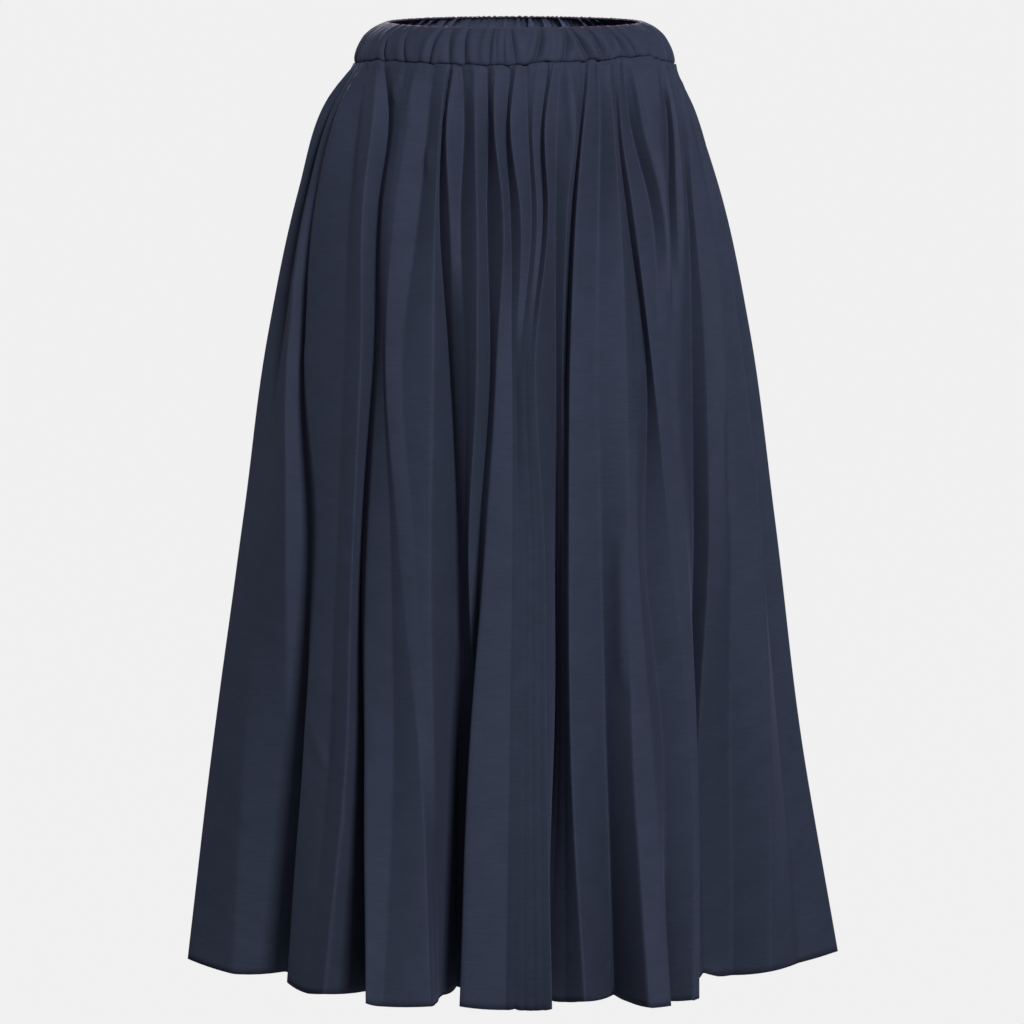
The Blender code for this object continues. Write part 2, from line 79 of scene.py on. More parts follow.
# The folds of the front panel, from its left side seam to its right one, as in the solids. The first seven
# columns say where a fold lies across the skirt at each ring, as a share of the half width there. The last
# five say how far it stands forward of the side seams at five of the rings, as a share of the half depth.
# A fold that has opened out flat lies on the cloth between its neighbours.
ACROSS_AT = LEVELS
FORWARD_AT = ["yoke", "thigh", "knee", "calf", "hem"]
FLAT = None
FRONT_FOLDS = (
    # name, across at seam, yoke, hip, thigh, knee, calf, hem, forward at yoke, thigh, knee, calf, hem
    ("seam_left", -0.97, -0.95, -0.93, -0.92, -0.91, -0.91, -0.90, 0, 0, 0, 0, 0),
    ("side_left", -1.00, -1.02, -1.01, -1.02, -1.02, -1.03, -1.01, 0.14, 0.17, 0.18, 0.18, 0.20),
    ("left_1", -0.98, -0.96, -0.96, -0.95, -0.95, -0.92, -0.86, 0.21, 0.28, 0.31, 0.34, 0.33),
    ("left_2", -0.97, -0.97, -0.96, -0.93, -0.85, -0.77, -0.70, 0.30, 0.43, 0.48, 0.41, 0.29),
    ("left_3", -0.95, -0.94, -0.92, -0.86, -0.76, -0.69, -0.58, 0.36, 0.40, 0.43, 0.41, 0.41),
    ("left_4", -0.94, -0.93, -0.90, -0.86, -0.73, -0.71, -0.69, 0.45, 0.50, 0.63, 0.63, 0.57),
    ("left_5", -0.90, -0.82, -0.75, -0.69, -0.65, -0.62, -0.62, 0.54, 0.68, 0.71, 0.71, 0.69),
    ("left_6", -0.85, -0.75, -0.69, -0.62, -0.59, -0.56, -0.57, 0.66, 0.77, 0.79, 0.79, 0.76),
    ("left_7", -0.80, -0.67, -0.62, -0.57, -0.56, -0.49, -0.40, 0.62, 0.64, 0.60, 0.56, 0.47),
    ("left_8", -0.75, -0.64, -0.60, -0.55, -0.54, -0.50, -0.44, 0.72, 0.74, 0.78, 0.84, 0.99),
    ("left_9", -0.66, -0.60, -0.57, -0.53, -0.45, -0.40, -0.39, 0.78, 0.80, 0.85, 0.87, 0.96),
    ("left_10", -0.58, -0.55, -0.54, -0.52, -0.42, -0.31, -0.24, 0.82, 0.83, 0.89, 0.94, 1.01),
    ("left_11", -0.50, -0.45, -0.43, -0.45, FLAT, FLAT, FLAT, 0.83, 0.85, FLAT, FLAT, FLAT),
    ("left_12", -0.41, -0.38, -0.35, -0.32, -0.30, -0.26, -0.22, 0.91, 0.93, 0.94, 0.91, 0.77),
    ("left_13", -0.39, -0.37, -0.34, -0.26, -0.20, -0.18, -0.17, 0.83, 0.72, 0.65, 0.52, 0.42),
    ("left_14", -0.37, -0.35, -0.29, -0.24, FLAT, FLAT, FLAT, 0.93, 0.80, FLAT, FLAT, FLAT),
    ("left_15", -0.32, -0.26, -0.24, FLAT, FLAT, FLAT, FLAT, 0.86, FLAT, FLAT, FLAT, FLAT),
    ("left_16", -0.24, -0.20, -0.16, -0.14, -0.16, -0.12, -0.10, 0.97, 0.97, 0.84, 0.69, 0.60),
    ("left_17", -0.17, -0.13, -0.12, -0.09, -0.12, -0.08, -0.07, 0.87, 0.82, 0.79, 0.65, 0.59),
    ("left_18", -0.12, -0.10, -0.04, -0.06, -0.10, -0.15, -0.16, 0.99, 0.92, 0.92, 0.94, 0.94),
    ("centre_1", -0.02, -0.03, -0.01, 0.00, 0.00, -0.01, -0.02, 0.90, 0.90, 0.93, 0.94, 0.97),
    ("centre_2", 0.01, -0.01, 0.04, FLAT, FLAT, FLAT, FLAT, 0.99, FLAT, FLAT, FLAT, FLAT),
    ("centre_3", 0.07, 0.08, 0.09, FLAT, FLAT, FLAT, FLAT, 0.90, FLAT, FLAT, FLAT, FLAT),
    ("centre_4", 0.14, 0.11, FLAT, FLAT, FLAT, FLAT, FLAT, 0.93, FLAT, FLAT, FLAT, FLAT),
    ("centre_5", 0.21, 0.16, FLAT, FLAT, FLAT, FLAT, FLAT, 0.89, FLAT, FLAT, FLAT, FLAT),
    ("right_1", 0.24, 0.18, 0.17, 0.10, 0.12, 0.12, 0.12, 0.97, 0.99, 0.99, 1.01, 1.10),
    ("right_2", 0.28, 0.24, 0.20, 0.18, 0.16, 0.14, 0.04, 0.90, 0.76, 0.70, 0.62, 0.62),
    ("right_3", 0.34, 0.34, 0.26, 0.21, FLAT, FLAT, FLAT, 0.94, 0.82, FLAT, FLAT, FLAT),
    ("right_4", 0.43, 0.37, 0.28, 0.23, FLAT, FLAT, FLAT, 0.84, 0.78, FLAT, FLAT, FLAT),
    ("right_5", 0.46, 0.39, 0.30, 0.24, 0.21, 0.20, 0.22, 0.91, 0.93, 0.92, 0.91, 0.94),
    ("right_6", 0.51, 0.47, 0.40, 0.35, 0.33, 0.32, 0.31, 0.78, 0.85, 0.82, 0.76, 0.67),
    ("right_7", 0.57, 0.54, 0.50, 0.47, 0.43, 0.41, 0.41, 0.83, 0.86, 0.89, 0.93, 1.05),
    ("right_8", FLAT, FLAT, FLAT, FLAT, 0.47, 0.48, 0.48, FLAT, FLAT, 0.86, 0.88, 1.02),
    ("right_9", 0.61, 0.56, 0.53, 0.55, 0.49, 0.51, 0.45, 0.74, 0.69, 0.73, 0.73, 0.76),
    ("right_10", 0.64, 0.58, 0.56, 0.57, 0.59, 0.61, 0.55, 0.77, 0.79, 0.78, 0.77, 0.86),
    ("right_11", 0.66, 0.62, 0.64, FLAT, FLAT, FLAT, FLAT, 0.66, FLAT, FLAT, FLAT, FLAT),
    ("swell", 0.73, 0.69, 0.70, FLAT, FLAT, FLAT, FLAT, 0.72, FLAT, FLAT, FLAT, FLAT),
    ("right_12", 0.88, 0.83, 0.73, 0.67, 0.65, 0.63, 0.57, 0.45, 0.68, 0.69, 0.73, 0.77),
    ("right_13", 0.91, 0.86, 0.77, 0.70, FLAT, FLAT, FLAT, 0.50, 0.63, FLAT, FLAT, FLAT),
    ("right_14", 0.93, 0.89, 0.82, 0.74, 0.68, 0.60, 0.54, 0.34, 0.50, 0.46, 0.40, 0.48),
    ("right_15", 0.95, 0.93, 0.85, 0.80, 0.74, 0.64, 0.59, 0.34, 0.57, 0.57, 0.46, 0.30),
    ("right_16", 0.96, 0.95, 0.93, 0.88, 0.82, 0.75, 0.68, 0.29, 0.38, 0.38, 0.30, 0.24),
    ("right_17", 0.98, 0.98, 0.97, 0.95, 0.94, 0.89, 0.80, 0.26, 0.29, 0.31, 0.33, 0.31),
    ("right_18", 0.99, 0.96, 0.95, 0.94, 0.93, 0.92, 0.89, 0.18, 0.19, 0.20, 0.18, 0.14),
    ("side_right", 1.00, 0.98, 0.99, 1.00, 1.00, 1.00, 1.02, 0.10, 0.11, 0.10, 0.08, 0.05),
    ("seam_right", 0.97, 0.95, 0.93, 0.92, 0.91, 0.91, 0.90, 0, 0, 0, 0, 0),
)
SEWN_DEPTH = 0.35  # the share of a gather's depth that is left where it is sewn into the band
SEWN_LEAST = 0.8  # no gather sinks further in there than this share of the outline
SIDE_KEPT = 0.6  # the least share of a fold's yoke place that it keeps there, for the folds at the sides
SIDE_OUTLINE = 0.2  # the outline's depth is taken as no less than this when depths are compared

# The hem isn't level: how much longer the cloth is than its driving length, at each place across the hem
HEM_LONGER = (
    # name, across at the hem as a share of the half width, mm longer
    ("side_left", -1.00, 6.0),
    ("left_outer", -0.78, 7.5),
    ("left", -0.58, 8.0),
    ("left_low", -0.40, 6.0),
    ("left_fold", -0.24, 5.5),
    ("left_rise", -0.21, 0.0),
    ("left_centre", -0.17, 3.0),
    ("centre", 0.10, 3.0),
    ("right_centre", 0.20, 0.0),
    ("right_inner", 0.35, 1.0),
    ("right_low", 0.42, 5.0),
    ("right", 0.55, 4.5),
    ("right_fold", 0.64, 9.0),
    ("right_outer", 0.85, 5.5),
    ("side_right", 1.00, 3.5),
)

# The back panel: the same pleats turned half round, moved sideways and deepened unevenly, as in the solids
BACK_SHIFT = 0.035
BACK_SHIFT_WAVE = (7.0, 0.8)
BACK_DEPTH = 0.85
BACK_VARIES = 0.25
BACK_DEPTH_WAVE = (9.0, 2.0)
BACK_SIDES = 2.5
BACK_WIDEST = 0.98

# Small folds and wrinkles on the front: where each starts and ends across the skirt and
# down its cloth, how high it stands in mm (below 0 is a trough) and its half width in mm
CREASES = (
    # name, across at start, across at end, run at start, run at end, height, half width
    ("gather_right_outer", 0.121, 0.128, 0.009, 0.123, -1.6, 3.0),
    ("gather_right_inner", 0.0985, 0.114, 0.002, 0.060, -2.2, 3.0),
    ("pinch_left", -0.092, -0.0995, 0.000, 0.037, -2.0, 2.4),
    ("pinch_left_inner", -0.080, -0.088, 0.004, 0.045, -1.6, 2.4),
    ("pinch_middle", -0.0485, -0.0415, 0.002, 0.030, -1.8, 3.0),
    ("pinch_right", 0.0465, 0.0506, 0.000, 0.070, -2.0, 2.6),
    ("gather_left_outer", -0.120, -0.130, 0.017, 0.111, -1.3, 3.0),
    ("hip_dimple", -0.069, -0.069, 0.066, 0.094, -2.0, 3.5),
    ("hip_ridge", -0.176, -0.177, 0.184, 0.255, 1.6, 2.6),
    ("hip_ridge_shade", -0.183, -0.184, 0.180, 0.250, -1.2, 2.6),
    ("knee_hollow", 0.0905, 0.0925, 0.380, 0.530, -3.0, 4.0),
    ("thigh_ridge", 0.180, 0.183, 0.290, 0.400, 1.5, 3.0),
    ("calf_wrinkle", -0.170, -0.156, 0.560, 0.594, -2.0, 3.0),
    ("low_wrinkle", -0.1415, -0.136, 0.620, 0.690, -2.0, 3.0),
)
CREASE_FADE = 0.25  # the share of its length over which a crease fades at each end
CREASE_SHAPE = 1.6  # how a crease falls away to its sides: 1 is pointed and 2 is round

# Fine form of the cloth
ROWS = 131  # rows of points down a panel
PANEL_STEPS = (0.0, 0.05, 0.14, 0.30, 0.50, 0.70, 0.86, 0.95)  # places of the points across a panel
PANEL_BULGE = 0.030  # how far a panel between two folds rounds out, as a share of its width
MITER_LIMIT = 2.2  # the longest offset at a sharp fold, in wall thicknesses
LEAST_DROP = 0.3  # each step down a line drops at least this share of its length
FOLD_ROUNDING = (2, 1)  # smoothing passes over the folds at the seam and at the hem
SWAY = 0.0007  # the most that the pleats sway from their straight course
SWAY_LENGTH = 0.11
SWAY_START = 0.1  # it grows over this depth below the waist, and over this distance from the side seams
SWAY_SIDES = 0.03
PUCKER_PITCH = 0.0085  # between puckers in the seam, along the cloth
PUCKER_HEIGHT = 0.0014
PUCKER_RUN = 0.050  # puckers fade out over about this run below the seam
PUCKER_UNEVEN = 0.061  # how far apart along the cloth the longest puckers lie
PUCKER_WAVES = ((1.0, 0.6), (0.63, 0.4), (1.7, 0.6))  # pitch and height of each, as shares
PUCKER_PINCH = 0.8  # below 1 the puckers are rounded and the cloth between them is pinched
PUCKER_MIDDLE = 0.6  # the share of a pucker's height that is taken off, so that it dips as well
SEAM_TUCK = 0.0012  # how far the cloth turns in at the seam
TUCK_RUN = 0.004

# The seam isn't level: how far it rises across the front, in mm
SEAM_RISES = (
    # name, across as a share of the half width, rise
    ("side_left", -1.00, -3.5),
    ("left", -0.84, 1.5),
    ("left_dip", -0.50, 0.6),
    ("middle", -0.10, 0.0),
    ("right_start", 0.06, 0.4),
    ("right_step", 0.14, 3.0),
    ("right_level", 0.38, 2.4),
    ("right_peak", 0.47, 4.2),
    ("right_dip", 0.56, 2.8),
    ("right_high", 0.62, 5.0),
    ("right_top", 0.84, 5.2),
    ("right_fall", 0.91, 0.6),
    ("side_right", 1.00, -4.5),
)
SEAM_RISE_RUN = 0.09  # the skirt's cloth follows the seam's rises down to here
SEAM_WAVE = 0.0003  # the seam's small scallops
SEAM_WAVES = ((41, 0), (67, 1))  # how often they come across the waist, and their phases
SEAM_LEVEL_AT = 0.5  # the seam is level behind this share of the half depth

# Waistband: the outline of the casing at six levels above the seam, as in the solids
BAND_PROFILE = (
    # name, share of the height, half width, half depth
    ("seam", 0.00, 0.1355, 0.1025),
    ("low", 0.14, 0.1346, 0.1022),
    ("middle", 0.45, 0.1302, 0.0995),
    ("upper", 0.72, 0.1236, 0.0955),
    ("shoulder", 0.90, 0.1155, 0.0915),
    ("top", 1.00, 0.1085, 0.0885),
)
BAND_WALL = 0.0042
TOP_ROUNDING = 0.0010  # how far the top fold rounds down inside
BAND_COLUMNS = 1200
BAND_ROWS = 26
BAND_SEED = 11
BAND_PUCKER = 0.0005
BAND_ASIDE = 0.0022  # the casing sits this far to the right of the middle
ASIDE_RUN = 0.08  # and the skirt's cloth follows it down to here
TROUGH_DEEPER = 3.6
TROUGH_HALF_WIDTH = 0.015  # as a bearing
SHOULDER = 1.3  # the rounded cloth beside a trough stands up by this share of its depth
SHOULDER_PLACE = 3.0  # where it does, in half widths
SHOULDER_WIDTH = 2.0
TROUGH_SHAPE = 1.1  # how a trough rises to its sides: 1 is pointed and 2 is round
BAND_UPPER = 0.72  # the upper level's share of the height
INNER_GATHERS = 150  # fine gathers round the inside of the casing
INNER_HEIGHT = 0.0004
TOP_BUMP = 0.0005  # how far they lift the top fold behind
INSIDE_PAINTED_LIGHT = 3.2  # the inside's colour is painted this many times paler: painted light, as if the inside caught more light
TOP_HIGHLIGHT_LINE = (0.965, 1.12)  # where the plum painted highlight lies along the top fold's edge, as shares of the height
TOP_HIGHLIGHT_SHARE = 0.4
PLUM_HIGHLIGHT = (0.075, 0.022, 0.040, 1.0)

# Troughs between the gathers of the band's front: across at its upper level and at the seam, as shares of
# the half width there, and depth in mm
BAND_FOLDS = (
    # name, across at upper, across at seam, depth
    ("left_1", -0.856, -0.806, 1.1),
    ("left_2", -0.741, -0.677, 0.7),
    ("left_3", -0.539, -0.533, 1.1),
    ("left_4", -0.438, -0.400, 0.5),
    ("left_5", -0.337, -0.308, 0.9),
    ("left_6", -0.162, -0.160, 0.9),
    ("left_7", -0.121, -0.111, 0.5),
    ("left_8", -0.074, -0.068, 0.6),
    ("centre", -0.020, 0.006, 1.0),
    ("right_1", 0.176, 0.123, 1.5),
    ("right_2", 0.350, 0.302, 1.3),
    ("right_3", 0.425, 0.462, 1.7),
    ("right_4", 0.539, 0.554, 1.6),
    ("right_5", 0.634, 0.591, 1.1),
    ("right_6", 0.674, 0.690, 1.5),
    ("right_7", 0.741, 0.757, 1.5),
    ("right_8", 0.876, 0.856, 1.5),
    ("right_9", 0.943, 0.899, 1.1),
)

# Troughs by chance round the band's back: from and to which bearing, how far they lie apart, how much they
# lean and how deep they are
BACK_BEARINGS = (math.radians(78), math.radians(282))
BACK_SPACING = (0.08, 0.20)
BACK_LEAN = 0.03
BACK_TROUGHS = (0.0005, 0.0011)

# Fine waves of the band's face: share of the height, waves round the waist, how far and how often they
# wander sideways, phase and lean
BAND_WAVES = (
    (0.6, 53, 3, 5, 0, 2),
    (0.4, 89, 2, 3, 1, -1),
)
BAND_FADE = (0.12, 0.76)  # the troughs fade at the seam and the top, as a start and a stretch of a half wave
BAND_FADE_SHAPE = 0.7
INNER_WAVES = ((23, 0), (61, 1))  # how unevenly the inner gathers stand: waves round the waist and phase
INNER_WANDER = (4, 7)  # how far and how often they wander sideways

# Cloth
NAVY = (0.0188, 0.0236, 0.0400, 1.0)
SHADES = (0.60, 1.40)  # the darkest and the lightest threads, as shares of it
STREAK_SCALE = (55.0, 620.0, 1.0)
MOTTLE_SCALE = 38.0
MOTTLE_SHARE = 0.4  # of the colour's variation
RIB_TURN = math.radians(52)
RIB_SCALE = 480.0
BUMP = (0.5, 0.0002)  # strength and distance
STITCH_PITCH = 0.0035  # half the distance between the hem's stitches
STITCH_SIZE = (0.0013, 0.0012)  # half length and half height
STITCH_DEPTH = 1.2

# Camera and stage
CAMERA_PLACE = (0.0, -5.0, 0.2815)
CAMERA_PITCH = math.radians(7.8)
CAMERA_LENS = 207.3
FLOOR_LEVEL = -3.2
BACKDROP_GREY = 0.871
DOME_RADIUS = 30.0
DOME_STEPS = (24, 8)  # faces round the dome and up it
SKY_STRENGTH = 0.14

# Lamps: name, place, size, power and colour
LAMPS = (
    ("key", (1.0, -3.1, 1.9), 0.8, 208.0, (1.0, 1.0, 1.0)),
    ("fill_low", (0.0, -2.2, -1.5), 1.2, 12.0, (1.0, 1.0, 1.0)),
    ("back", (-0.4, 3.3, 1.0), 1.2, 100.0, (1.0, 1.0, 1.0)),
    ("rim_left", (-2.0, 1.2, 0.2), 0.8, 14.0, (0.75, 0.80, 1.0)),
    ("rim_right", (2.0, 1.2, 0.2), 0.8, 16.0, (0.75, 0.80, 1.0)),
)
LAMPS_AIM = (0.0, 0.0, -0.4)


def smooth_curve(knots, values, at):
    """A smooth curve through the values at the knots, read at each place in at."""
    knots = np.asarray(knots, float)
    values = np.asarray(values, float)
    steps = np.diff(knots)
    rises = np.diff(values) / steps
    slopes = np.empty(len(knots))
    slopes[0] = rises[0]
    slopes[-1] = rises[-1]
    weights = steps[1:] + steps[:-1]
    slopes[1:-1] = (rises[:-1] * steps[1:] + rises[1:] * steps[:-1]) / weights
    place = np.clip(np.searchsorted(knots, at, side="right") - 1, 0, len(steps) - 1)
    u = (at - knots[place]) / steps[place]
    start = (1 + 2 * u) * (1 - u) ** 2 * values[place] + u * (1 - u) ** 2 * steps[place] * slopes[place]
    end = u * u * (3 - 2 * u) * values[place + 1] - u * u * (1 - u) * steps[place] * slopes[place + 1]
    return start + end


def opened_flat(column):
    """A table column as numbers: a fold that has opened flat lies evenly between its neighbours."""
    known = [i for i, value in enumerate(column) if value is not None]
    return np.interp(range(len(column)), known, [column[i] for i in known])


def outline_depth(share):
    """The depth of the elliptical outline at a place across it, as a share of the half depth."""
    return math.sqrt(max(0.0, 1 - share * share))


def back_fold(across, forward):
    """One fold of the front, turned half round to the back, moved across and deepened."""
    moved = []
    for share in across:
        if share is FLAT:
            moved.append(FLAT)
            continue
        shift = BACK_SHIFT * math.sin(BACK_SHIFT_WAVE[0] * share + BACK_SHIFT_WAVE[1])
        place = -share + shift * max(0.0, 1 - share * share)
        moved.append(max(-BACK_WIDEST, min(BACK_WIDEST, place)))
    deepened = []
    for level, stand in zip(FORWARD_AT, forward):
        if stand is FLAT or stand == 0:
            deepened.append(stand)
            continue
        share = across[LEVELS.index(level)]
        scale = BACK_DEPTH + BACK_VARIES * math.sin(BACK_DEPTH_WAVE[0] * share + BACK_DEPTH_WAVE[1])
        depth = (outline_depth(share) - stand) * scale
        central = min(1.0, BACK_SIDES * (1 - abs(share)))
        stand_behind = outline_depth(moved[LEVELS.index(level)]) - depth
        deepened.append(stand + central * (stand_behind - stand))
    return moved + deepened


def back_folds():
    """The fold table of the back panel, from its right side seam to its left one."""
    rows = []
    for name, *shares in FRONT_FOLDS:
        across = shares[: len(ACROSS_AT)]
        forward = shares[len(ACROSS_AT) :]
        rows.append((name, *back_fold(across, forward)))
    return rows


def fold_lines(folds, side, runs):
    """The folds of a panel as lines down the cloth: arrays of X and Y, a row for each fold."""
    across = np.array([opened_flat([row[1 + k] for row in folds]) for k in range(len(ACROSS_AT))])
    first = 1 + len(ACROSS_AT)
    forward = np.array([opened_flat([row[first + k] for row in folds]) for k in range(len(FORWARD_AT))])
    yoke_outline = np.sqrt(np.maximum(0, 1 - across[1] ** 2))
    seam_outline = np.sqrt(np.maximum(0, 1 - across[0] ** 2))
    gathered = 1 - SEWN_DEPTH * (1 - forward[0] / np.maximum(yoke_outline, SIDE_OUTLINE))
    at_seam = np.maximum(seam_outline * np.clip(gathered, SEWN_LEAST, 1.0), SIDE_KEPT * forward[0])
    forward = np.vstack([at_seam, forward])
    forward_runs = [0.0] + [RUNS[LEVELS.index(level)] for level in FORWARD_AT]
    half_width = smooth_curve(RUNS, HALF_WIDTHS, runs)
    half_depth = smooth_curve(RUNS, HALF_DEPTHS, runs)
    xs = np.array([smooth_curve(RUNS, across[:, i], runs) * half_width for i in range(len(folds))])
    ys = np.array([smooth_curve(forward_runs, forward[:, i], runs) * half_depth for i in range(len(folds))])
    ys[0] = -SEAM_LAP / 2
    ys[-1] = -SEAM_LAP / 2
    return xs, side * ys


def panel_columns(xs, ys, side):
    """Columns of points across each panel between two folds, rounded a little outwards."""
    turn = side * np.sign(xs[-1, 0] - xs[0, 0])
    columns = []
    for i in range(len(xs) - 1):
        dx = xs[i + 1] - xs[i]
        dy = ys[i + 1] - ys[i]
        for t in PANEL_STEPS:
            bulge = PANEL_BULGE * 4 * t * (1 - t)
            columns.append((xs[i] + t * dx - turn * dy * bulge, ys[i] + t * dy + turn * dx * bulge))
    columns.append((xs[-1], ys[-1]))
    return np.array([c[0] for c in columns]), np.array([c[1] for c in columns])


def soft_folds(xs, ys, runs):
    """Rounds the folds: more passes at the seam, where the cloth is gathered, than at the pressed hem."""
    most, least = FOLD_ROUNDING
    passes = least + (most - least) * (1 - runs / CLOTH_RUN) ** 2
    for k in range(most):
        weight = np.clip(passes - k, 0, 1) * 0.5
        for grid in (xs, ys):
            middle = (grid[:-2] + grid[2:]) / 2
            grid[1:-1] += weight * (middle - grid[1:-1])
    return xs, ys


def seam_rise(xs, ys):
    """How far the seam rises at each place round the waist, fading to level at the back."""
    shares = [row[1] for row in SEAM_RISES]
    rises = [row[2] / 1000 for row in SEAM_RISES]
    across = np.clip(xs / HALF_WIDTHS[0], -1, 1)
    rise = np.interp(across, shares, rises)
    behind = np.clip(ys / (SEAM_LEVEL_AT * HALF_DEPTHS[0]), 0, 1)
    waves = SEAM_WAVE * sum(np.sin(across * often + phase) for often, phase in SEAM_WAVES)
    return rise * (1 - behind) + waves


def hung(runs, xs, ys):
    """Each line's height at each step: the cloth keeps its length, so a line that spreads drops less."""
    shares = [row[1] for row in HEM_LONGER]
    longer = np.interp(xs[:, -1] / HALF_WIDTHS[-1], shares, [row[2] / 1000 for row in HEM_LONGER])
    step = np.diff(runs) * (1 + longer / CLOTH_RUN)[:, None]
    level = np.diff(xs, axis=1) ** 2 + np.diff(ys, axis=1) ** 2
    drop = np.sqrt(np.maximum(step**2 - level, (LEAST_DROP * step) ** 2))
    return PANEL_TOP - np.hstack([np.zeros((len(xs), 1)), np.cumsum(drop, axis=1)])


def fades(place, start, end):
    """1 along a crease and 0 beyond its ends, with a soft change between."""
    length = (end - start) * CREASE_FADE
    rise = np.clip((place - start) / length, 0, 1)
    fall = np.clip((end - place) / length, 0, 1)
    both = np.minimum(rise, fall)
    return both * both * (3 - 2 * both)


def crease_heights(xs, runs, side):
    """How far the small folds and wrinkles raise each point of a panel, in metres."""
    heights = np.zeros_like(xs)
    for _, across_start, across_end, start, end, height, half_width in CREASES:
        along = np.clip((runs - start) / (end - start), 0, 1)
        course = -side * (across_start + (across_end - across_start) * along)
        away = (xs - course[None, :]) / (half_width / 1000)
        heights += height / 1000 * np.exp(-np.abs(away) ** CREASE_SHAPE) * fades(runs, start, end)[None, :]
    return heights


def pucker_heights(arc, runs, seed):
    """Small rounded puckers, pinched between, where the cloth is gathered into the seam."""
    chance = random.Random(seed)
    phases = [chance.uniform(0, 2 * math.pi) for _ in PUCKER_WAVES]
    wave = np.zeros_like(arc)
    for phase, (pitch, share) in zip(phases, PUCKER_WAVES):
        rounded = np.abs(np.sin(math.pi * arc / (PUCKER_PITCH * pitch) + phase)) ** PUCKER_PINCH
        wave += share * (rounded - PUCKER_MIDDLE)
    reach = PUCKER_RUN * (1 + 0.5 * np.sin(2 * math.pi * arc / PUCKER_UNEVEN + phases[0]))
    return PUCKER_HEIGHT * wave * np.clip(1 - runs[None, :] / reach, 0, 1) ** 1.5


def sway(points, seed):
    """A soft sideways drift of the whole cloth, the same for folds that lie together."""
    moved = points.reshape(-1, 3)
    shift = np.array([noise.noise_vector(Vector(p) / SWAY_LENGTH + Vector((seed, 0, 0))) for p in moved])
    shift *= SWAY
    shift[:, 2] = 0
    low = np.clip((PANEL_TOP - moved[:, 2]) / SWAY_START, 0, 1)
    side = np.clip(np.abs(moved[:, 1]) / SWAY_SIDES, 0, 1)
    return (moved + shift * (low * side)[:, None]).reshape(points.shape)


def grid_normals(points, outward):
    """Unit normals of a grid of points, columns by rows, on the side that faces away from the hollow."""
    along = np.gradient(points, axis=0)
    down = np.gradient(points, axis=1)
    normals = np.cross(along, down) * outward
    return normals / np.maximum(np.linalg.norm(normals, axis=2), 1e-9)[:, :, None]


def inner_offsets(xs, ys, inward):
    """Plan offsets of one row of points towards the hollow, mitred at the folds and square at the ends."""
    points = np.stack([xs, ys], axis=1)
    along = np.diff(points, axis=0)
    along /= np.maximum(np.linalg.norm(along, axis=1), 1e-9)[:, None]
    normals = inward * np.stack([-along[:, 1], along[:, 0]], axis=1)
    before = np.vstack([normals[:1], normals])
    after = np.vstack([normals, normals[-1:]])
    middle = before + after
    length = np.maximum(np.linalg.norm(middle, axis=1), 1e-6)
    middle /= length[:, None]
    stretch = np.minimum(2.0 / length, MITER_LIMIT)
    offsets = middle * stretch[:, None]
    for end in (0, -1):
        offsets[end] = (-np.sign(points[end, 0]), 0.0)
    return offsets


def add_mesh(name, points, faces, material, uvs=None):
    mesh = bpy.data.meshes.new(name)
    mesh.from_pydata(points.tolist(), [], faces)
    if uvs is not None:
        layer = mesh.uv_layers.new(name="cloth")
        corners = np.empty(len(mesh.loops), dtype=np.int32)
        mesh.loops.foreach_get("vertex_index", corners)
        layer.data.foreach_set("uv", uvs[corners].ravel())
    mesh.update()
    mesh.shade_smooth()
    piece = bpy.data.objects.new(name, mesh)
    mesh.materials.append(material)
    bpy.context.scene.collection.objects.link(piece)
    return piece


def shell_faces(columns, rows):
    """Faces of a closed shell between an outer and an inner grid of points."""
    shift = columns * rows
    faces = []
    for i in range(columns - 1):
        for j in range(rows - 1):
            a, b = i * rows + j, (i + 1) * rows + j
            faces.append((a, a + 1, b + 1, b))
            faces.append((shift + a, shift + b, shift + b + 1, shift + a + 1))
        a, b = i * rows, (i + 1) * rows
        faces.append((a, b, shift + b, shift + a))
        a, b = a + rows - 1, b + rows - 1
        faces.append((a, shift + a, shift + b, b))
    last = (columns - 1) * rows
    for j in range(rows - 1):
        faces.append((j, shift + j, shift + j + 1, j + 1))
        faces.append((last + j, last + j + 1, shift + last + j + 1, shift + last + j))
    return faces


def cloth_panel(name, folds, side, seed, material):
    """One pleated panel as a thin shell. side is -1 for the front and 1 for the back."""
    runs = np.linspace(0, CLOTH_RUN, ROWS)
    xs, ys = panel_columns(*fold_lines(folds, side, runs), side)
    xs, ys = soft_folds(xs, ys, runs)
    zs = hung(runs, xs, ys)
    arc = np.vstack([np.zeros(ROWS), np.cumsum(np.hypot(np.diff(xs, axis=0), np.diff(ys, axis=0)), axis=0)])
    follow = np.clip(1 - runs / SEAM_RISE_RUN, 0, 1) ** 2
    zs += seam_rise(xs[:, :1], ys[:, :1]) * follow[None, :]
    points = sway(np.stack([xs, ys, zs], axis=2), seed)
    points[:, :, 0] += BAND_ASIDE * (np.clip(1 - runs / ASIDE_RUN, 0, 1) ** 2)[None, :]
    inward = 1 if side * (xs[-1, 0] - xs[0, 0]) < 0 else -1
    normals = grid_normals(points, inward)
    heights = crease_heights(points[:, :, 0], runs, side) + pucker_heights(arc, runs, seed)
    heights -= SEAM_TUCK * np.clip(1 - runs / TUCK_RUN, 0, 1)[None, :] ** 2
    at_sides = np.clip(np.abs(points[:, :, 1]) / 0.01, 0, 1)
    outer = points + normals * (heights * at_sides)[:, :, None]
    wall = np.where(runs > CLOTH_RUN - HEM_TURN, HEM_WALL, CLOTH_WALL)
    inner = outer.copy()
    for j in range(ROWS):
        inner[:, j, :2] += wall[j] * inner_offsets(outer[:, j, 0], outer[:, j, 1], inward)
    uvs = np.stack([arc - arc[-1] / 2, np.broadcast_to(runs, arc.shape)], axis=2).reshape(-1, 2)
    both = np.vstack([outer.reshape(-1, 3), inner.reshape(-1, 3)])
    return add_mesh(name, both, shell_faces(len(xs), ROWS), material, np.vstack([uvs, uvs]))


